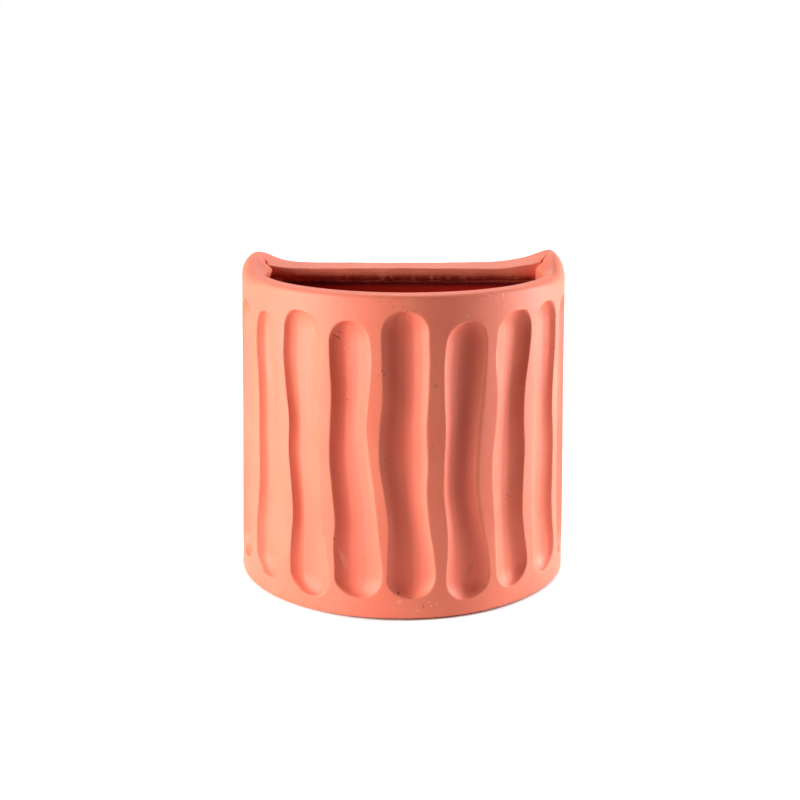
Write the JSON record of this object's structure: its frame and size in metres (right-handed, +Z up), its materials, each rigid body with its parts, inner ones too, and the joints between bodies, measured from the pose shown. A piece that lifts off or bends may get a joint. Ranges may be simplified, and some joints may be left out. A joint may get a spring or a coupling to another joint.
{
  "type": "wall planter",
  "caption": "Half-round wall planter in unglazed terracotta, with a thick rounded lip, raised rear corners and wavy flutes carved down the curved front.",
  "frame": {"origin": "centre of the base, on the surface that the planter stands on", "axes": "+Z up, +Y out of the flat back towards the wall, +X to the right of a person facing the fluted front"},
  "size_m": [0.2186, 0.1193, 0.2109],
  "materials": {
    "terracotta": "matt unglazed fired clay, smoothed by hand",
    "rough_clay": "matt unglazed fired clay, pressed in with a finger and left rough"
  },
  "bodies": {
    "root": {"front_wall": "terracotta", "back_wall": "terracotta", "floor_slab": "terracotta", "back_rim_strip": "terracotta", "left_corner_pad": "terracotta", "right_corner_pad": "terracotta", "left_seam_coil": "rough_clay", "right_seam_coil": "rough_clay", "floor_coil": "rough_clay"}
  },
  "joints": []
}
